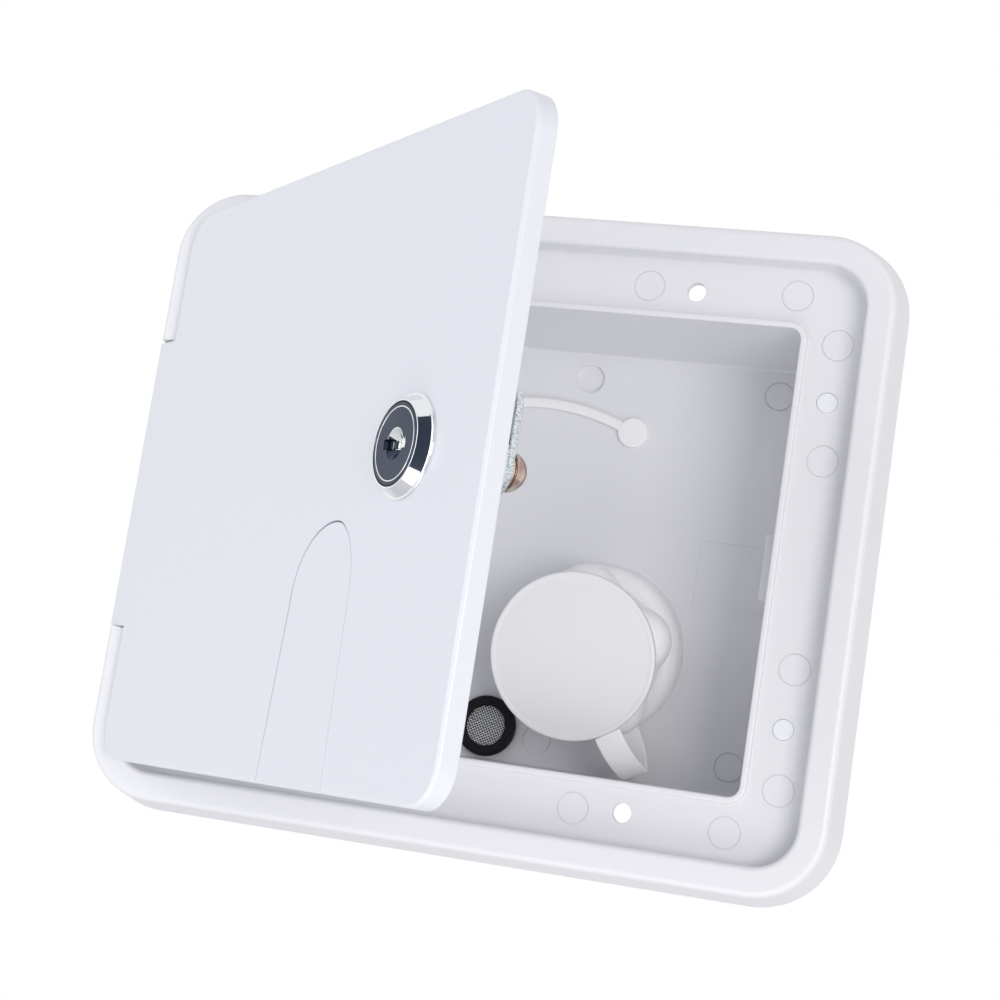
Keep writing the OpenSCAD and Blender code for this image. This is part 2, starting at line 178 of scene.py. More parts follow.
def carve(target, tool, how="DIFFERENCE"):
    """The target cut by, or joined with, a closed tool, which is used up."""
    cut = target.modifiers.new("carve", "BOOLEAN")
    cut.operation = how
    cut.solver = "EXACT"
    cut.object = tool
    graph = bpy.context.evaluated_depsgraph_get()
    made = bpy.data.meshes.new_from_object(target.evaluated_get(graph))
    target.modifiers.clear()
    target.data = made
    bpy.data.objects.remove(tool)
    return target


def fit(made, material, body, slot, *nodes, sharp=30):
    """Gives a piece its finish and smooth faces, and ties it to its body and CAD nodes."""
    made.data.materials.clear()
    made.data.materials.append(material)
    made.data.shade_smooth()
    made.data.set_sharp_from_angle(angle=math.radians(sharp))
    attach(made, body)
    if nodes:
        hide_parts(*nodes)
    return made


def add(tree, kind, inputs=None, **settings):
    """A shader node with its settings, and its inputs set to values or linked to sockets."""
    made = tree.nodes.new("ShaderNode" + kind)
    for name, value in settings.items():
        setattr(made, name, value)
    for name, value in (inputs or {}).items():
        if isinstance(value, bpy.types.NodeSocket):
            tree.links.new(value, made.inputs[name])
        else:
            made.inputs[name].default_value = value
    return made


def group_tree(name, inputs, outputs):
    """An empty node group with named sockets: (tree, its input node, its output node)."""
    tree = bpy.data.node_groups.new(name, "ShaderNodeTree")
    kinds = {"colour": "NodeSocketColor", "value": "NodeSocketFloat"}
    for label, kind in inputs.items():
        tree.interface.new_socket(label, in_out="INPUT", socket_type=kinds[kind])
    for label, kind in outputs.items():
        tree.interface.new_socket(label, in_out="OUTPUT", socket_type=kinds[kind])
    return tree, tree.nodes.new("NodeGroupInput"), tree.nodes.new("NodeGroupOutput")


def moulded_skin_group():
    """Skin of a moulding: slow clouds of tone and gloss from the melt's flow, and a fine grain."""
    tree, given, out = group_tree(
        "moulded_skin",
        {"Light": "colour", "Shade": "colour", "Gloss": "value", "Matt": "value",
         "Cloud": "value", "Grain": "value"},
        {"Colour": "colour", "Roughness": "value", "Height": "value"},
    )
    place = add(tree, "TexCoord").outputs["Object"]
    cloud = add(tree, "TexNoise", {"Vector": place, "Scale": given.outputs["Cloud"], "Detail": 3.0})
    spread = add(tree, "MapRange", {"Value": cloud.outputs["Fac"], "From Min": 0.1, "From Max": 0.9})
    grain = add(tree, "TexNoise", {"Vector": place, "Scale": given.outputs["Grain"], "Detail": 2.0})
    tone = add(tree, "Mix", {0: spread.outputs["Result"], 6: given.outputs["Light"],
                             7: given.outputs["Shade"]}, data_type="RGBA")
    sheen = add(tree, "MapRange", {"Value": grain.outputs["Fac"], "From Min": 0.1, "From Max": 0.9,
                                   "To Min": given.outputs["Gloss"], "To Max": given.outputs["Matt"]})
    tree.links.new(tone.outputs[2], out.inputs["Colour"])
    tree.links.new(sheen.outputs["Result"], out.inputs["Roughness"])
    tree.links.new(grain.outputs["Fac"], out.inputs["Height"])
    return tree


moulded_skin = moulded_skin_group()


def plastic(name, light, shade, gloss, matt, cloud, grain, depth=0, **sockets):
    """A moulded plastic or rubber: the skin group with its values on one Principled shader. The
    relief's depth is in metres, and a polished mould leaves none."""
    made = bpy.data.materials.new(name)
    made.use_nodes = True
    tree = made.node_tree
    shader = tree.nodes["Principled BSDF"]
    face = add(tree, "Group", node_tree=moulded_skin)
    for label, value in {"Light": (*light, 1), "Shade": (*shade, 1), "Gloss": gloss, "Matt": matt,
                         "Cloud": cloud, "Grain": grain}.items():
        face.inputs[label].default_value = value
    tree.links.new(face.outputs["Colour"], shader.inputs["Base Color"])
    tree.links.new(face.outputs["Roughness"], shader.inputs["Roughness"])
    if depth:
        relief = add(tree, "Bump", {"Height": face.outputs["Height"], "Distance": depth})
        tree.links.new(relief.outputs["Normal"], shader.inputs["Normal"])
    for label, value in sockets.items():
        shader.inputs[label.replace("_", " ")].default_value = value
    return made


def drill(places, radius, low, high, flare=0.0, steps=48):
    """Closed round cutters from one height to another at each (x, y). They widen by flare just
    below their last millimetre, which stands over the surface that they cut."""
    line = [[0, low], [radius, low], [radius, high - 1 - flare], [radius + flare, high - 1],
            [radius + flare, high], [0, high]]
    offsets = [(x, y, 0) for x, y in places]
    return several(skin(lathe(line, steps)), offsets)


def scribe(places, radius, low, width=0.3):
    """Cutters for thin round lines, each a ring of rectangular section at its (x, y)."""
    line = [[radius - width, low], [radius, low], [radius, low + 1], [radius - width, low + 1]]
    return several(skin(lathe(line, 64), loop=True), [(x, y, 0) for x, y in places])


def mirrored(place):
    """The four points (+-x, +-y) of a place."""
    return [(x * place[0], y * place[1]) for x in (1, -1) for y in (1, -1)]


rim_front = section(
    [[-2.1, 0.0], [-2.32, 0.1], [-2.36, 0.3]],
    bend((1.47, rim_top - 1.8), 1.8, 168.7, 90, 9),
    bend((5.8, rim_top - 1.2), 1.2, 90, 0, 7),
    bend((7.4, 5.0), 0.4, 180, 270, 4),
    [[9.0, land_top]],
)[:-1]
lip = section(
    [[-3.0, land_top]],
    bend((-1.9, 4.9), 0.3, 270, 360, 4),
    bend((-1.1, 5.8), 0.5, 180, 90, 5),
    bend((-0.5, 5.8), 0.5, 90, 0, 5),
    [[0.0, land_under]],
)[1:]
rim_back = section([[4.8, land_under], [4.8, 9.5], [2.1, 9.5], [0.1, 0.0]])
frame_rows = np.vstack([
    inset_rows(rim_front, rim_half, rim_round),
    inset_rows(lip, opening_half, opening_round),
    inset_rows(rim_back, rim_half, rim_round),
])
front_frame = solid("frame_moulding", skin(rings(frame_rows), loop=True))
hinge_boss = block((-95.4, -43, 1), (-87.4, 43, 10))
carve(front_frame, solid("boss", hinge_boss), "UNION")
upright_rib = block((-0.7, -3.3, 1), (0.7, 3.3, 10))
upright_places = [(x, y, 0) for x in (-62, -24, 24, 62) for y in (77, -77)]
carve(front_frame, solid("upright_ribs", several(upright_rib, upright_places)), "UNION")
level_rib = block((-3, -0.7, 1), (3, 0.7, 10))
level_places = [(92, y, 0) for y in (-54, -18, 18, 54)] + [(-92, y, 0) for y in (-54, 54)]
carve(front_frame, solid("level_ribs", several(level_rib, level_places)), "UNION")
tongue_gap = 0.5
tongue_notch = block((-99, -tongue_reach[0] - tongue_gap, 1.6),
                     (-86.6, tongue_reach[1] + tongue_gap, 14))
carve(front_frame, solid("notch", tongue_notch))
screw_holes = drill(mirrored(screw_place), screw_hole, -1, land_top + 1, flare=0.15)
carve(front_frame, solid("screw_holes", screw_holes))
knock_outs = drill(mirrored(knock_out_place), knock_out_radius, land_top - 0.5, 8)
carve(front_frame, solid("knock_outs", knock_outs))
ejector_places = [place for spot in ejector_spots for place in mirrored(spot)]
carve(front_frame, solid("marks", scribe(ejector_places, ejector_radius, land_top - 0.25)))
white_frame = plastic("white_frame_plastic", (0.80, 0.80, 0.82), (0.77, 0.77, 0.79),
                      gloss=0.36, matt=0.39, cloud=9.0, grain=40.0)
fit(front_frame, white_frame, "hatch", "white_plastic", "front_frame")
plug_line = [[0, 0], [2.52, 0], [2.52, 0.4], [2.4, 0.5], [0, 0.5]]
plug_places = [(x, y, land_top - 0.55) for x, y in mirrored(knock_out_place)]
plugs = solid("hole_plugs", several(skin(lathe(plug_line, 48)), plug_places))
plug_white = plastic("bright_plug_plastic", (0.86, 0.87, 0.90), (0.84, 0.85, 0.88),
                     gloss=0.30, matt=0.34, cloud=9.0, grain=40.0)
fit(plugs, plug_white, "hatch", "white_plastic")

# Pocket
# A second moulding behind the frame: a plain box with rounded inner corners, welded under the
# land. Its back wall carries the inlet, and a slot in the right wall takes the lock's cam.
pocket_depth = 36.0
pocket_draft = 1.3
inlet_place = (23.2, -23.6)
inlet_bore = 20.15
back_marks = [(62, 49.5), (62, -49.5), (10, -49.5), (-45, 49.5), (-45, -49.5)]
deep_mark = (10, 49.5)
pin_mark = (15.0, 31.7)
mark_radius = 3.9
pocket_rows = inset_rows(section(
    bend((pocket_draft, -pocket_depth), 2.0, 270, 180, 6),
    [[-2.0, land_under], [0.0, land_under]],
    bend((pocket_draft + 0.7, -pocket_depth + 0.7), 0.7, 180, 270, 5),
), opening_half, opening_round)
pocket = solid("pocket_moulding", skin(rings(pocket_rows)))
cam_slot = block((69.6, -12, -16), (77, 12, -7.4))
carve(pocket, solid("slot", cam_slot))
slide_imprint = block((46.5, -8.7, -pocket_depth - 0.3), (69.7, 8.7, -30))
carve(pocket, solid("imprint", slide_imprint))
carve(pocket, solid("bore", drill([inlet_place], inlet_bore, -40, -34)))
carve(pocket, solid("marks", scribe(back_marks, mark_radius, -pocket_depth - 0.3)))
carve(pocket, solid("deep_mark", drill([deep_mark], mark_radius, -pocket_depth - 0.9, -30)))
carve(pocket, solid("pin_mark", drill([pin_mark], 0.3, -pocket_depth - 0.1, -30)))
white_pocket = plastic("white_pocket_plastic", (0.80, 0.80, 0.82), (0.76, 0.76, 0.79),
                       gloss=0.40, matt=0.44, cloud=9.0, grain=40.0)
fit(pocket, white_pocket, "hatch", "shell_plastic", "pocket_shell")

# Strike
# A small plate moulded on the right wall. The lock's cam turns in behind it and pulls the door
# shut.
strike_half = (1.73, 8.4)
strike_round = 0.6
strike_middle = (70.33, -0.4)
strike_edge = section(
    [[0.3, -7.4]], bend((0.3, -7.1), 0.3, 270, 180, 3), bend((0.3, -5.7), 0.3, 180, 90, 3),
)
strike_rows = inset_rows(strike_edge, strike_half, strike_round)
strike = solid("strike_plate", skin(rings(strike_rows, strike_middle, steps=5, hold=0.1)))
fit(strike, white_frame, "hatch", "white_plastic", "latch_strike")

# Inlet base
# A bell-shaped flange in milky polythene that stands on the back wall, with the neck that the
# collar and the cap sit on. The whole inlet leans down towards the front.
inlet_tilt = 9.7


def tipped(points, angle, place):
    """A piece's own coordinates turned about x by an angle in degrees, (x, y cos - z sin,
    y sin + z cos), and moved to its place."""
    x, y, z = np.moveaxis(np.asarray(points, float), -1, 0)
    c, s = math.cos(math.radians(angle)), math.sin(math.radians(angle))
    return stand_up(np.stack([x, y * c - z * s, y * s + z * c], -1) + np.array(place))


def lean(points):
    """The inlet's own coordinates, with z along its axis and z = 0 on the back wall."""
    return tipped(points, inlet_tilt, (*inlet_place, -pocket_depth))


base_line = section(
    [[12.0, -5.0], [22.8, -5.0]],
    bend((18.8, 3.5), 4.0, 0, 90, 10),
    bend((15.6, 8.1), 0.6, 270, 180, 4),
    [[15.0, 25.0], [14.6, 25.4], [12.4, 25.4], [12.0, 25.0]],
)
fine_turn = 240
inlet_base = solid("inlet_flange", skin(lathe(base_line, fine_turn), loop=True), lean)
behind_wall = block((-20, -70, -60), (70, 30, -pocket_depth))
carve(inlet_base, solid("behind_wall", behind_wall))
milky = plastic("milky_polythene", (0.93, 0.93, 0.94), (0.90, 0.90, 0.92),
                gloss=0.30, matt=0.34, cloud=40.0, grain=90.0, Subsurface_Weight=0.35,
                Subsurface_Radius=(1.0, 1.0, 1.0), Subsurface_Scale=0.003)
fit(inlet_base, milky, "hatch", "inlet_plastic", "inlet_base")

# Hose spout and back nut
# Behind the pocket the inlet ends in a threaded stub. A ring nut clamps the back wall, and the
# filler hose pushes over the plain end with its three grip grooves.
spout_end = -72.0
grip_grooves = [[[19.0, low], [18.5, low + 0.2], [18.5, low + 1.0], [19.0, low + 1.2]]
                for low in (4.0, 9.0, 14.0)]
spout_line = section(
    [[17.0, 0.0], [18.2, 0.0], [19.0, 0.8]],
    *grip_grooves,
    [[19.0, 28.0], [20.0, 28.0], [20.0, 36.0], [17.0, 36.0]],
)


def behind(points):
    """Coordinates along the spout, with z = 0 at its rear end."""
    return stand_up(np.asarray(points, float) + np.array([*inlet_place, spout_end]))


spout = solid("hose_spout", skin(lathe(spout_line), loop=True), behind)
fit(spout, milky, "hatch", "inlet_plastic", "inlet_spout")
nut_line = section([[20.1, 29.3], [20.6, 29.0], [25.5, 29.0], [26.0, 29.5], [26.0, 33.6],
                    [25.6, 34.0], [20.1, 34.0]])
back_nut = solid("back_nut", skin(lathe(nut_line), loop=True), behind)
fit(back_nut, milky, "hatch", "inlet_plastic", "inlet_back_nut")

# Collar
# The ring that is turned by hand to free the cap: five soft lobes, moulded in the same milky
# plastic, swelling in the middle of their height.
collar_low, collar_high = 9.5, 22.5
collar_bore = 15.4
collar_end = 17.6
collar_ring = 19.6
lobe_out = 15.0
lobe_radius = 8.402
lobe_turn = math.radians(20)
lobe_blend = 0.4


def collar_surface(around=360, along=44):
    """A ring with five lobes. Round the axis each lobe is a circle set out from it,
    out cos a + sqrt(radius^2 - out^2 sin^2 a), blended with the ring by log(exp + exp). Along
    the axis the outline swells from the end's radius as the square root of
    1 - |2 part - 1|^2.6."""
    turn = np.linspace(0, 2 * math.pi, around, endpoint=False)
    fifth = 2 * math.pi / 5
    away = (turn - lobe_turn + fifth / 2) % fifth - fifth / 2
    reach = lobe_radius ** 2 - (lobe_out * np.sin(away)) ** 2
    lobe = lobe_out * np.cos(away) + np.sqrt(np.maximum(reach, 0))
    outline = lobe_blend * np.log(np.exp(collar_ring / lobe_blend) + np.exp(lobe / lobe_blend))
    part = 0.5 - 0.5 * np.cos(np.linspace(0, math.pi, along))
    swell = np.sqrt(1 - np.abs(2 * part - 1) ** 2.6)
    radius = collar_end + swell[:, None] * (outline[None] - collar_end)
    height = (collar_low + (collar_high - collar_low) * part)[:, None] + 0 * radius
    outer = np.stack([radius * np.cos(turn), radius * np.sin(turn), height], -1)
    bore = lathe([[collar_bore, collar_high], [collar_bore, collar_low]], around)
    return skin(np.concatenate([outer, bore]), loop=True)


collar = solid("turning_collar", collar_surface(), lean)
fit(collar, milky, "collar", "inlet_plastic", "inlet_collar", sharp=50)

# Cap
# A flat disc with a thin raised rim line and a plug under it that pushes into the neck. It is
# moulded in a softer, matt white plastic.
cap_front = 28.4
cap_face = cap_front - 0.12
cap_back = cap_front - 1.9
cap_line = section(
    [[0.0, cap_face], [20.1, cap_face], [20.35, cap_front]],
    bend((21.1, cap_front - 0.4), 0.4, 90, 0, 5),
    bend((21.3, cap_back + 0.2), 0.2, 0, -90, 3),
    [[17.5, cap_back], [17.5, 23.5], [15.4, 23.5], [15.4, cap_back]],
    [[11.7, cap_back], [11.7, 18.6], [11.3, 18.0], [0.0, 18.0]],
)
cap = solid("push_cap", skin(lathe(cap_line, fine_turn)), lean)
cap_white = plastic("white_cap_plastic", (0.80, 0.80, 0.80), (0.78, 0.78, 0.785),
                    gloss=0.42, matt=0.48, cloud=30.0, grain=90.0)
fit(cap, cap_white, "cap", "cap_plastic", "cap_disc", "cap_plug")

# Straps
# Two moulded rubber straps, both fixed at their ends. One holds the cap to a ring on the neck,
# the other lies on the back wall and ends in a button.
tether_width, tether_height = 2.8, 1.3
button_place = (24.0, 35.7)
strap_turn = math.radians(-58.6)
strap_thickness, strap_width = 1.0, 6.8


def carry(path, side, up, outline):
    """An outline of (across, above) points, or one for each path point, carried along a path:
    path + across times side + above times up."""
    path, side, up = (np.asarray(a, float)[:, None] for a in (path, side, up))
    return path + outline[..., :1] * side + outline[..., 1:] * up


def round_bar(width, height, radius, steps=4):
    """Outline of a flat bar with rounded edges, standing on its lower face's middle."""
    half = width / 2 - radius
    corners = [((half, radius), 270), ((half, height - radius), 0),
               ((-half, height - radius), 90), ((-half, radius), 180)]
    return np.vstack([bend(centre, radius, start, start + 90, steps) for centre, start in corners])


def plane_path(*parts):
    """Joins runs of a flat path and gives its points, its left hand direction and its up."""
    line = np.vstack([np.atleast_2d(part) for part in parts])
    ahead = np.gradient(line, axis=0)
    ahead /= np.linalg.norm(ahead, axis=1)[:, None]
    flat = np.zeros(len(line))
    left = np.stack([-ahead[:, 1], ahead[:, 0], flat], -1)
    return np.c_[line, flat], left, np.tile([0.0, 0.0, 1.0], (len(line), 1))


tether_path = plane_path(
    bend((-2.3, -20), 61.5, 64.0, 90, 40),
    bend((-2.3, 1.5), 40, 91, 180, 50),
    bend((-20.3, 1.5), 22, 182, 270, 30),
    [[-18.0, -20.5], [-14.5, -20.5]],
)


def on_back_wall(points):
    """Wall coordinates with z = 0 on the pocket's back wall."""
    return stand_up(points + np.array([0, 0, -pocket_depth]))


tether_outline = round_bar(tether_width, tether_height, 0.6)
tether = solid("tether_strap_run", skin(carry(*tether_path, tether_outline)), on_back_wall)
button_line = section([[0.0, 1.35], [3.2, 1.35]], bend((3.55, 0.8), 0.55, 90, 0, 6),
                      [[4.1, 0.0]], [[0.0, 0.0]])
button = several(skin(lathe(button_line)), [(*button_place, 0)])
carve(tether, solid("button", button, on_back_wall), "UNION")
strap_white = plastic("white_strap_rubber", (0.92, 0.92, 0.92), (0.89, 0.89, 0.90),
                      gloss=0.40, matt=0.50, cloud=60.0, grain=200.0)
fit(tether, strap_white, "hatch", "strap_rubber", "tether_strap")

loop_path = plane_path(
    [[21.55, 27.6]],
    bend((21.6, 14.8), 12.8, 89, 20.9, 24),
    bend((29.82, 17.94), 4, 17, -17, 8),
    bend((21.6, 21.08), 12.8, -20.9, -90, 24),
    [[19.0, 8.28], [17.0, 8.28]],
)


def beside_cap(points):
    """The strap loop's own plane, turned to its place round the inlet's axis."""
    x, y, z = np.moveaxis(points, -1, 0)
    c, s = math.cos(strap_turn), math.sin(strap_turn)
    return lean(np.stack([x * c - z * s, x * s + z * c, y], -1))


loop_outline = round_bar(strap_thickness, strap_width, 0.3) - np.array([0, strap_width / 2])
along_loop = np.linspace(0, 1, len(loop_path[0]))
widen = np.interp(along_loop, [0, 0.35, 0.6, 1], [1.04, 1, 0.82, 1])
loop_outlines = loop_outline[None] * np.stack([0 * widen + 1, widen], -1)[:, None]
cap_strap = solid("cap_strap_loop", skin(carry(*loop_path, loop_outlines)), beside_cap)
ring_line = section([[15.2, 7.5], [18.2, 7.5], [18.4, 7.7], [18.4, 8.7], [18.2, 8.9], [15.2, 8.9]])
carve(cap_strap, solid("neck_ring", skin(lathe(ring_line), loop=True), lean), "UNION")
fit(cap_strap, strap_white, "hatch", "strap_rubber", "cap_strap")

# Filter washer
# A loose black rubber hose washer with a woven stainless screen in its middle, parked in the
# pocket's lower corner against the back wall. Behind the screen a disc of the same black rubber is
# painted shade: it stands in for the shade in the gaps of the weave.
washer_tilt = -2
washer_place = (-3.8, -47.7, -pocket_depth + 1.7)


def by_washer(points):
    """The washer's own coordinates, leaned back on the wall."""
    return tipped(points, washer_tilt, washer_place)


washer_line = section(
    bend((7.45, 0.7), 0.6, 0, 90, 5), bend((5.75, 0.9), 0.4, 90, 180, 5),
    bend((5.75, -0.9), 0.4, 180, 270, 5), bend((7.45, -0.7), 0.6, 270, 360, 5),
)
washer = solid("rubber_washer", skin(lathe(washer_line), loop=True), by_washer)
# Painted shade: a dark disc behind the screen so that the gaps in the weave show dark.
painted_shade_disc = skin(lathe([[0, -1.25], [5.5, -1.25], [5.5, -0.9], [0, -0.9]]))
carve(washer, solid("painted_shade_disc", painted_shade_disc, by_washer), "UNION")
black_rubber = plastic("black_rubber", (0.004, 0.0045, 0.006), (0.009, 0.01, 0.012),
                       gloss=0.45, matt=0.6, cloud=600.0, grain=1500.0, depth=4e-6,
                       Specular_IOR_Level=0.22)
fit(washer, black_rubber, "hatch", "black_rubber", "filter_washer")


def woven_screen(radius=5.4, pitch=0.64, wire=0.13, sides=6, per_pitch=4, turned=30):
    """Two families of crossing wires. Along each wire the height is a cosine that repeats over
    twice the pitch, of opposite sign on its neighbours, and its section is a circle of sides
    points. The weave is turned in its plane, in degrees."""
    turn = np.linspace(0, 2 * math.pi, sides, endpoint=False)
    points, faces, used = [], [], 0
    count = int(radius / pitch)
    for family in (0, 1):
        for row in range(-count, count + 1):
            reach = math.sqrt(max(radius ** 2 - (row * pitch) ** 2, 0.2))
            along = np.linspace(-reach, reach, max(3, int(2 * reach / pitch * per_pitch)))
            rise = wire * np.cos(math.pi * along / pitch + math.pi * (row + family))
            centre = np.stack([along, np.full_like(along, row * pitch), rise], -1)
            ring = np.stack([0 * turn, wire * np.cos(turn), wire * np.sin(turn)], -1)
            tube = centre[:, None] + ring[None]
            tube = tube if family else tube[..., [1, 0, 2]]
            shape, quads = skin(tube)
            points.append(shape)
            faces += [[i + used for i in face] for face in quads]
            used += len(shape)
    x, y, z = np.vstack(points).T
    c, s = math.cos(math.radians(turned)), math.sin(math.radians(turned))
    return np.stack([x * c - y * s, x * s + y * c, z], -1), faces


screen = solid("woven_screen", woven_screen(), by_washer)


def metal(name, base, tint, gloss, matt, cloud, grain, depth=0):
    """A metal: noise between two tones and two roughnesses, and a relief of the fine noise, whose
    depth is in metres. Polished metal has none."""
    made = bpy.data.materials.new(name)
    made.use_nodes = True
    tree = made.node_tree
    shader = tree.nodes["Principled BSDF"]
    shader.inputs["Metallic"].default_value = 1.0
    place = add(tree, "TexCoord").outputs["Object"]
    slow = add(tree, "TexNoise", {"Vector": place, "Scale": cloud, "Detail": 4.0})
    fine = add(tree, "TexNoise", {"Vector": place, "Scale": grain, "Detail": 3.0})
    spread = add(tree, "MapRange", {"Value": slow.outputs["Fac"], "From Min": 0.35, "From Max": 0.65})
    tone = add(tree, "Mix", {0: spread.outputs["Result"], 6: (*base, 1), 7: (*tint, 1)},
               data_type="RGBA")
    rough = add(tree, "MapRange", {"Value": fine.outputs["Fac"], "From Min": 0.3, "From Max": 0.7,
                                   "To Min": gloss, "To Max": matt})
    tree.links.new(tone.outputs[2], shader.inputs["Base Color"])
    tree.links.new(rough.outputs["Result"], shader.inputs["Roughness"])
    if depth:
        relief = add(tree, "Bump", {"Height": fine.outputs["Fac"], "Distance": depth})
        tree.links.new(relief.outputs["Normal"], shader.inputs["Normal"])
    return made


stainless = metal("stainless_wire", (0.92, 0.92, 0.92), (0.8, 0.8, 0.82),
                  gloss=0.3, matt=0.42, cloud=90, grain=900, depth=1e-7)
fit(screen, stainless, "hatch", "steel_mesh", "filter_screen", sharp=80)

# Hinge pin
# A plain steel pin that runs through the door's barrel, with its ends held in the frame. The
# solid from the frame serves as it is, and only gets its finish.
bare_steel = metal("bare_steel", (0.6, 0.6, 0.6), (0.5, 0.5, 0.5),
                   gloss=0.25, matt=0.4, cloud=300, grain=3000, depth=2e-6)
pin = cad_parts["hinge_pin"]
pin.data.materials.clear()
pin.data.materials.append(bare_steel)

# Door
# One flat moulding with a folded rim, a tongue at the left that ends in the hinge barrel, and an
# arched cut-out for the hose flap. It stands open by the angle that the photograph shows.
door_open = math.radians(43)
hinge_line = (-91.1, 7.9)
hinge_barrel = 4.09
hinge_bore = 1.65
door_half = np.array([86.4, 71.6])
door_middle = (0.4, 0.0)
door_round = 9.3
door_skin = 2.5
door_deep = 4.75
flap_crown = (27.9, -30.8)
crown_rise = 16.4
crown_right = 11.0
flap_feet = (9.0, 40.5)
flap_groove = 0.3
lock_place = (54.4, 0.2)
barrel_radius = 8.0
barrel_flat = 6.6
barrel_play = 0.05
hinge = np.array([hinge_line[0], -hinge_line[1], 0]) * MM


def swing_open(points):
    """Closed-door wall coordinates turned about the hinge line by the opening angle."""
    x, y, z = np.moveaxis(stand_up(points) - hinge, -1, 0)
    c, s = math.cos(-door_open), math.sin(-door_open)
    return np.stack([x * c - y * s, x * s + y * c, z], -1) + hinge


door_back = rim_top - door_deep
door_rows = inset_rows(section(
    [[1.2, rim_top]],
    bend((0.8, rim_top - 0.8), 0.8, 90, 180, 6),
    bend((0.3, door_back + 0.3), 0.3, 180, 270, 3),
    bend((1.9, door_back + 0.3), 0.3, 270, 360, 3),
    bend((2.6, rim_top - door_skin - 0.4), 0.4, 180, 90, 3),
    [[3.4, rim_top - door_skin]],
), door_half, door_round)
door = solid("door_moulding", skin(rings(door_rows, centre=door_middle)), swing_open)


def along_hinge(profile, low, high, ease=0.3, shrunk=0.95):
    """A closed profile of (x, height) points carried along the hinge, drawn in over the last
    ease mm at both ends about the profile's middle."""
    profile = np.asarray(profile, float)
    middle = profile.mean(0)
    scale = np.array([shrunk, 1, 1, shrunk])
    y = np.array([low, low + ease, high - ease, high])
    flat = middle + (profile - middle)[None] * scale[:, None, None]
    return np.concatenate([flat[..., :1], np.broadcast_to(y[:, None, None], flat[..., :1].shape),
                           flat[..., 1:]], -1)


tongue_line = np.vstack([
    [[-83.0, rim_top - door_skin], [-83.0, rim_top - 0.01]],
    bend((-94.6, 11.4), 0.59, 90, 180, 6),
    bend(hinge_line, hinge_barrel, 185, 330, 18),
    [[-86.5, 9.5]],
])
tongue = skin(along_hinge(tongue_line, -tongue_reach[0], tongue_reach[1]))
carve(door, solid("tongue", tongue, swing_open), "UNION")
pin_bore = skin(along_hinge(bend(hinge_line, hinge_bore, 0, 345, 23), -45, 45))
carve(door, solid("pin_bore", pin_bore, swing_open))


def eased_plate(outline, low, high, ease):
    """A plate between two heights whose edges are drawn in by ease at both faces. The outline
    is a function that gives the points for a distance in."""
    rows = []
    for inset, height in ((ease, low), (0, low + ease), (0, high - ease), (ease, high)):
        line = outline(inset)
        rows.append(np.c_[line, np.full(len(line), height)])
    return skin(np.array(rows))


def arch(grow, low, high, ease=0.0, bottom=-74.0, steps=36):
    """The flap's outline as a plate, grown by a distance. Its crown is the point crown +
    (r cos a, rise sin a), with r the rise on the left and less on the right, and its sides
    spread straight down to the feet."""
    turn = np.radians(np.linspace(-4, 184, steps))

    def outline(inset):
        """The crown's points and the two feet, for a distance in."""
        out = grow - inset
        across = np.where(np.cos(turn) > 0, crown_right, crown_rise) + out
        crown = np.stack([across * np.cos(turn), (crown_rise + out) * np.sin(turn)], -1)
        foot = [[flap_feet[0] - out, bottom + inset], [flap_feet[1] + out, bottom + inset]]
        return np.vstack([np.array(flap_crown) + crown, foot])

    return eased_plate(outline, low, high, ease)


flap_cut = arch(flap_groove, door_back - 1, rim_top + 1)
carve(door, solid("flap_cut", flap_cut, swing_open))
lock_boss = several(skin(lathe([[0, 8], [12.6, 8], [13, 8.4], [13, 10], [0, 10]])),
                    [(*lock_place, 0)])
carve(door, solid("lock_boss", lock_boss, swing_open), "UNION")
hole_radius = barrel_radius + barrel_play
hole_flat = barrel_flat + barrel_play
lock_hole = solid("lock_hole", drill([lock_place], hole_radius, 5, 14), swing_open)
hole_flats = several(block((-hole_flat, -9, 4), (hole_flat, 9, 15)), [(*lock_place, 0)])
carve(lock_hole, solid("hole_flats", hole_flats, swing_open), "INTERSECT")
carve(door, lock_hole)
# Painted light: the door is the frame's white plastic, tinted bluish as if lit by a bluish lamp from
# the left.
door_white_painted_bluish_light = plastic("door_plastic_painted_bluish_light", (0.775, 0.785, 0.83), (0.77, 0.78, 0.825),
                     gloss=0.28, matt=0.30, cloud=6.0, grain=30.0)
fit(door, door_white_painted_bluish_light, "door", "white_plastic", "door_panel")

# Hose flap
# A plate that fills the arched cut-out at the door's lower edge, so that a hose or cable can
# pass with the door shut. It shows as a fine groove.
clip_grow = 3.0
clip_top = rim_top - door_skin
flap_ease = 0.2
flap_shape = arch(0.0, door_back + 1, rim_top, flap_ease, bottom=-door_half[1])
flap = solid("flap_plate", flap_shape, swing_open)
clip = arch(clip_grow, clip_top - 1.5, clip_top, flap_ease, bottom=-door_half[1] + 2.7)
carve(flap, solid("flap_clip", clip, swing_open), "UNION")
fit(flap, door_white_painted_bluish_light, "door", "white_plastic", "hose_flap")

# Lock
# A cam lock: a chromed bezel, a polished face whose dark base colour is a painted dark
# reflection, with a turned ring and a countersunk key slot, a threaded barrel with its nut, and a
# zinc plated cam held by a domed screw whose copper tones are darkened as a painted reflection.
face_top = 3.0
barrel_end = -20.2
cam_end = -22.0
cam_radius = 6.4
cam_reach = 12.5


def on_lock(points):
    """Coordinates about the lock's axis with z = 0 on the door's front."""
    return swing_open(np.asarray(points, float) + np.array([*lock_place, rim_top]))


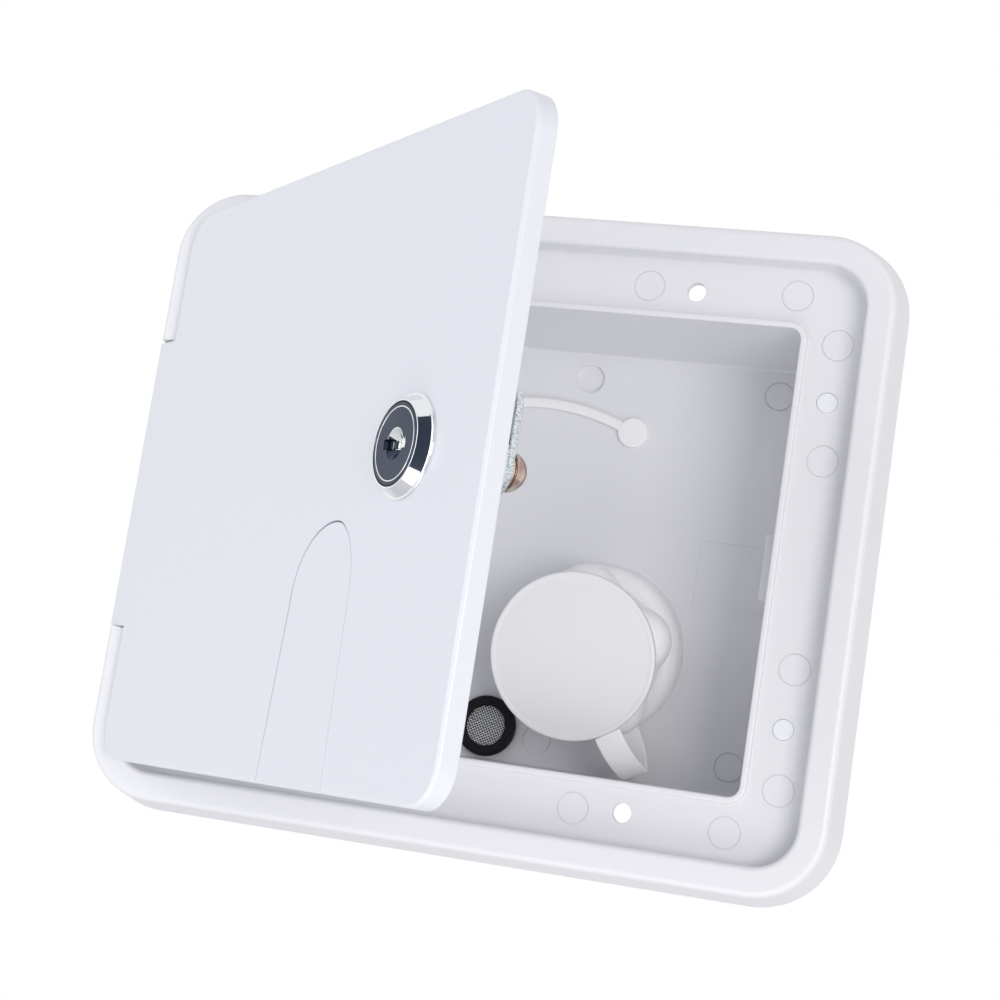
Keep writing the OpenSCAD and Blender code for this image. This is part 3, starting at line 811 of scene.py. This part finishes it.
bezel_line = section(
    [[9.0, 0.0], [11.3, 0.0]],
    bend((11.05, 0.3), 0.25, 0, 85, 4),
    bend((10.85, 0.75), 0.2, 270, 215, 3),
    bend((9.2, 2.85), 0.15, 35, 100, 4),
    [[9.0, 2.98], [8.92, 2.6], [8.92, 0.6]],
)
bezel = solid("lock_bezel_ring", skin(lathe(bezel_line, 128), loop=True), on_lock)
chrome = metal("chrome", (0.86, 0.87, 0.88), (0.80, 0.81, 0.83),
               gloss=0.04, matt=0.08, cloud=60, grain=400)
fit(bezel, chrome, "door", "chrome", "lock_bezel", sharp=35)

face_line = section(
    [[0.0, barrel_end], [5.5, barrel_end], [5.5, 0.2], [8.75, 0.2], [8.75, face_top - 0.2]],
    bend((8.55, face_top - 0.2), 0.2, 0, 90, 4),
    [[8.0, face_top], [7.9, face_top - 0.16], [7.7, face_top - 0.16], [7.6, face_top]],
    [[0.0, face_top]],
    hold=0.05,
)
plug = solid("lock_plug_face", skin(lathe(face_line, 128)), on_lock)
countersink = skin(lathe([[0, 1.0], [1.6, 1.0], [3.4, 2.8], [3.4, 4], [0, 4]], 64))
carve(plug, solid("countersink", countersink, on_lock))
carve(plug, solid("key_slot", block((-4.6, -1.1, 1.9), (4.6, 1.1, 6)), on_lock))
carve(plug, solid("key_way", block((-3.4, -0.5, -4), (3.4, 0.5, 6)), on_lock))
# Painted reflection: the face's dark blue-grey base colour stands in for the dark surroundings that a
# chrome face mirrors.
dark_mirror = metal("polished_face_painted_dark", (0.050, 0.064, 0.100), (0.042, 0.056, 0.088),
                    gloss=0.16, matt=0.24, cloud=120, grain=600)
fit(plug, dark_mirror, "lock", "dark_mirror", "lock_plug", sharp=35)
inset_line = [[0, 0.9], [1.7, 0.9], [3.4, 2.6], [3.4, 3.02], [3.25, 3.02], [1.45, 1.2], [0, 1.2]]
inset = solid("bright_countersink", skin(lathe(inset_line, 64)), on_lock)
carve(inset, solid("inset_slot", block((-4.6, -1.1, 1.6), (4.6, 1.1, 6)), on_lock))
carve(inset, solid("inset_lower", block((-5, -5, 0), (5, -0.9, 6)), on_lock))
fit(inset, chrome, "lock", "chrome", sharp=35)
shutter = solid("key_shutter", block((-4.0, -0.8, 0.9), (-2.3, 0.8, 1.9)), on_lock)
fit(shutter, chrome, "lock", "chrome")
ring_line = [[7.65, 2.8], [7.95, 2.8], [7.95, 3.0], [7.87, 3.05], [7.73, 3.05], [7.65, 3.0]]
turned_ring = solid("turned_ring", skin(lathe(ring_line, 128), loop=True), on_lock)
fit(turned_ring, chrome, "lock", "chrome", sharp=60)


def thread(radius, low, high, pitch=1.0, depth=0.45, around=72, per_turn=8):
    """A threaded rod: radius less depth times a triangle wave of height over pitch less the
    angle over a full turn."""
    turn = np.linspace(0, 2 * math.pi, around, endpoint=False)
    height = np.arange(low, high + 1e-6, pitch / per_turn)
    phase = (height[:, None] / pitch - turn[None] / (2 * math.pi)) % 1
    r = radius - depth * np.abs(2 * phase - 1)
    x, y = r * np.cos(turn), r * np.sin(turn)
    return np.stack([x, y, height[:, None] + 0 * x], -1)


barrel_shape = thread(barrel_radius, barrel_end + 0.1, -0.2)
barrel = solid("threaded_barrel", skin(barrel_shape), on_lock)
flat_cut = block((barrel_flat, -12, -25), (12, 12, 0.5))
flats = several(flat_cut, [(0, 0, 0), (-12 - barrel_flat, 0, 0)])
carve(barrel, solid("flats", flats, on_lock))
carve(barrel, solid("barrel_bore", drill([(0, 0)], 5.6, -30, 3), on_lock))
zinc = metal("zinc_plate", (0.86, 0.90, 0.90), (0.30, 0.36, 0.39),
             gloss=0.2, matt=0.45, cloud=3600, grain=6000, depth=5e-6)
fit(barrel, zinc, "door", "zinc", "lock_barrel", sharp=40)

nut_corners = np.radians(np.arange(0, 360, 60))
nut_rows = []
for reach, height in ((11.6, -7.5), (12.0, -7.2), (12.0, -4.3), (11.6, -4.0)):
    nut_rows.append(np.c_[reach * np.cos(nut_corners), reach * np.sin(nut_corners),
                          np.full(6, height)])
lock_nut = solid("hex_nut", skin(np.array(nut_rows)), on_lock)
carve(lock_nut, solid("nut_bore", drill([(0, 0)], barrel_radius, -10, 0), on_lock))
fit(lock_nut, zinc, "door", "zinc", "lock_nut")


def cam_outline(inset):
    """Two half circles joined by straight sides, for a distance in."""
    hub = bend((0, 0), cam_radius - inset, 180, 360, 32)
    tip = bend((0, cam_reach), cam_radius - inset, 0, 180, 32)
    return np.vstack([hub, tip])


cam = solid("cam_plate", eased_plate(cam_outline, cam_end, barrel_end, 0.2), on_lock)
fit(cam, zinc, "lock", "zinc", "lock_cam")

screw_line = section(
    [[0.0, cam_end], [3.9, cam_end]],
    bend((3.9, cam_end - 0.2), 0.2, 90, 0, 3), bend((3.9, cam_end - 1.6), 0.2, 0, -90, 3),
    [[3.7, cam_end - 1.85], [4.2, cam_end - 1.9]], bend((0, cam_end - 1.8), 4.5, -3, -90, 20),
)
screw = solid("domed_screw", skin(lathe(screw_line, 64)), on_lock)
for name, half_x, half_y in (("cross_a", 2.4, 0.45), ("cross_b", 0.45, 2.4)):
    arm = block((-half_x, -half_y, -30), (half_x, half_y, -26.6))
    carve(screw, solid(name, arm, on_lock))
# Copper tones set darker than the metal's own: a painted dark reflection of the shaded surroundings
# behind the door.
darkened_screw_metal = metal("screw_painted_dark_reflection", (0.40, 0.25, 0.24), (0.66, 0.58, 0.48),
               gloss=0.06, matt=0.12, cloud=300, grain=900)
fit(screw, darkened_screw_metal, "lock", "screw_metal", "cam_screw", sharp=35)

# Studio
# A pale floor well below the hatch and a white surround. A broad soft lamp stands to the right,
# a weaker one to the left and a small one below, and a dark card in front shows in the metal.
floor_height = -0.5


def sheet(width, height):
    """A flat rectangle about the origin, facing up, in metres."""
    corners = np.array([[-1, -1, 0], [1, -1, 0], [1, 1, 0], [-1, 1, 0]])
    return corners * [width / 2, height / 2, 0], [[0, 1, 2, 3]]


floor = solid("floor", sheet(2, 2), lambda p: p + np.array([0, 0, floor_height]))
floor_paint = plastic("pale_floor", (0.9, 0.9, 0.9), (0.88, 0.88, 0.89),
                      gloss=0.7, matt=0.8, cloud=2.0, grain=300.0, depth=1e-5)
floor.data.materials.append(floor_paint)


def soft_lamp(name, place, aim, size, power, colour):
    """A square lamp at a place, facing a point."""
    data = bpy.data.lights.new(name, "AREA")
    data.size = size
    data.energy = power
    data.color = colour
    lamp = bpy.data.objects.new(name, data)
    lamp.location = place
    lamp.rotation_euler = (Vector(aim) - Vector(place)).to_track_quat("-Z", "Y").to_euler()
    bpy.context.scene.collection.objects.link(lamp)


soft_lamp("key_lamp", (0.8, -1.15, -0.08), (0, 0, 0), 0.6, 6.7, (1.0, 0.99, 0.98))
soft_lamp("left_lamp", (-1.1, -0.9, 0.1), (0, 0, 0), 1.0, 5.0, (0.93, 0.96, 1.0))
soft_lamp("low_lamp", (0.05, -0.24, -0.46), (0, 0, 0), 0.4, 0.68, (1.0, 1.0, 1.0))


def dark_card(name, place, aim, width, height, tone):
    """A dark studio card that only polished metal mirrors, facing a point."""
    card = solid(name, sheet(width, height), lambda p: p)
    turn = (Vector(aim) - Vector(place)).to_track_quat("Z", "Y").to_matrix().to_4x4()
    card.data.transform(Matrix.Translation(place) @ turn)
    paint = plastic(name, tone, tone, gloss=0.9, matt=1.0, cloud=3.0, grain=30.0)
    card.data.materials.append(paint)
    card.visible_camera = card.visible_diffuse = False
    card.visible_shadow = card.visible_transmission = False


dark_card("front_card", (-0.02, -0.42, 0.13), (-0.02, 0, 0.13), 0.3, 0.95, (0.04, 0.055, 0.09))

# The surround is plain white where it is seen, mirrored or looked through, and dimmer as light.
world = bpy.data.worlds.new("surround")
bpy.context.scene.world = world
world.use_nodes = True
tree = world.node_tree
tree.nodes.clear()
rays = add(tree, "LightPath")
seen = add(tree, "Math", {0: rays.outputs["Is Camera Ray"], 1: rays.outputs["Is Glossy Ray"]},
           operation="MAXIMUM")
seen = add(tree, "Math", {0: seen.outputs[0], 1: rays.outputs["Is Transmission Ray"]},
           operation="MAXIMUM")
white = add(tree, "Background", {"Color": (1, 1, 1, 1), "Strength": 1.0})
dim = add(tree, "Background", {"Color": (0.95, 0.96, 1, 1), "Strength": 0.64})
choice = add(tree, "MixShader", {0: seen.outputs[0], 1: dim.outputs[0], 2: white.outputs[0]})
add(tree, "OutputWorld", {"Surface": choice.outputs[0]})

view = bpy.context.scene.view_settings
view.view_transform = "Standard"
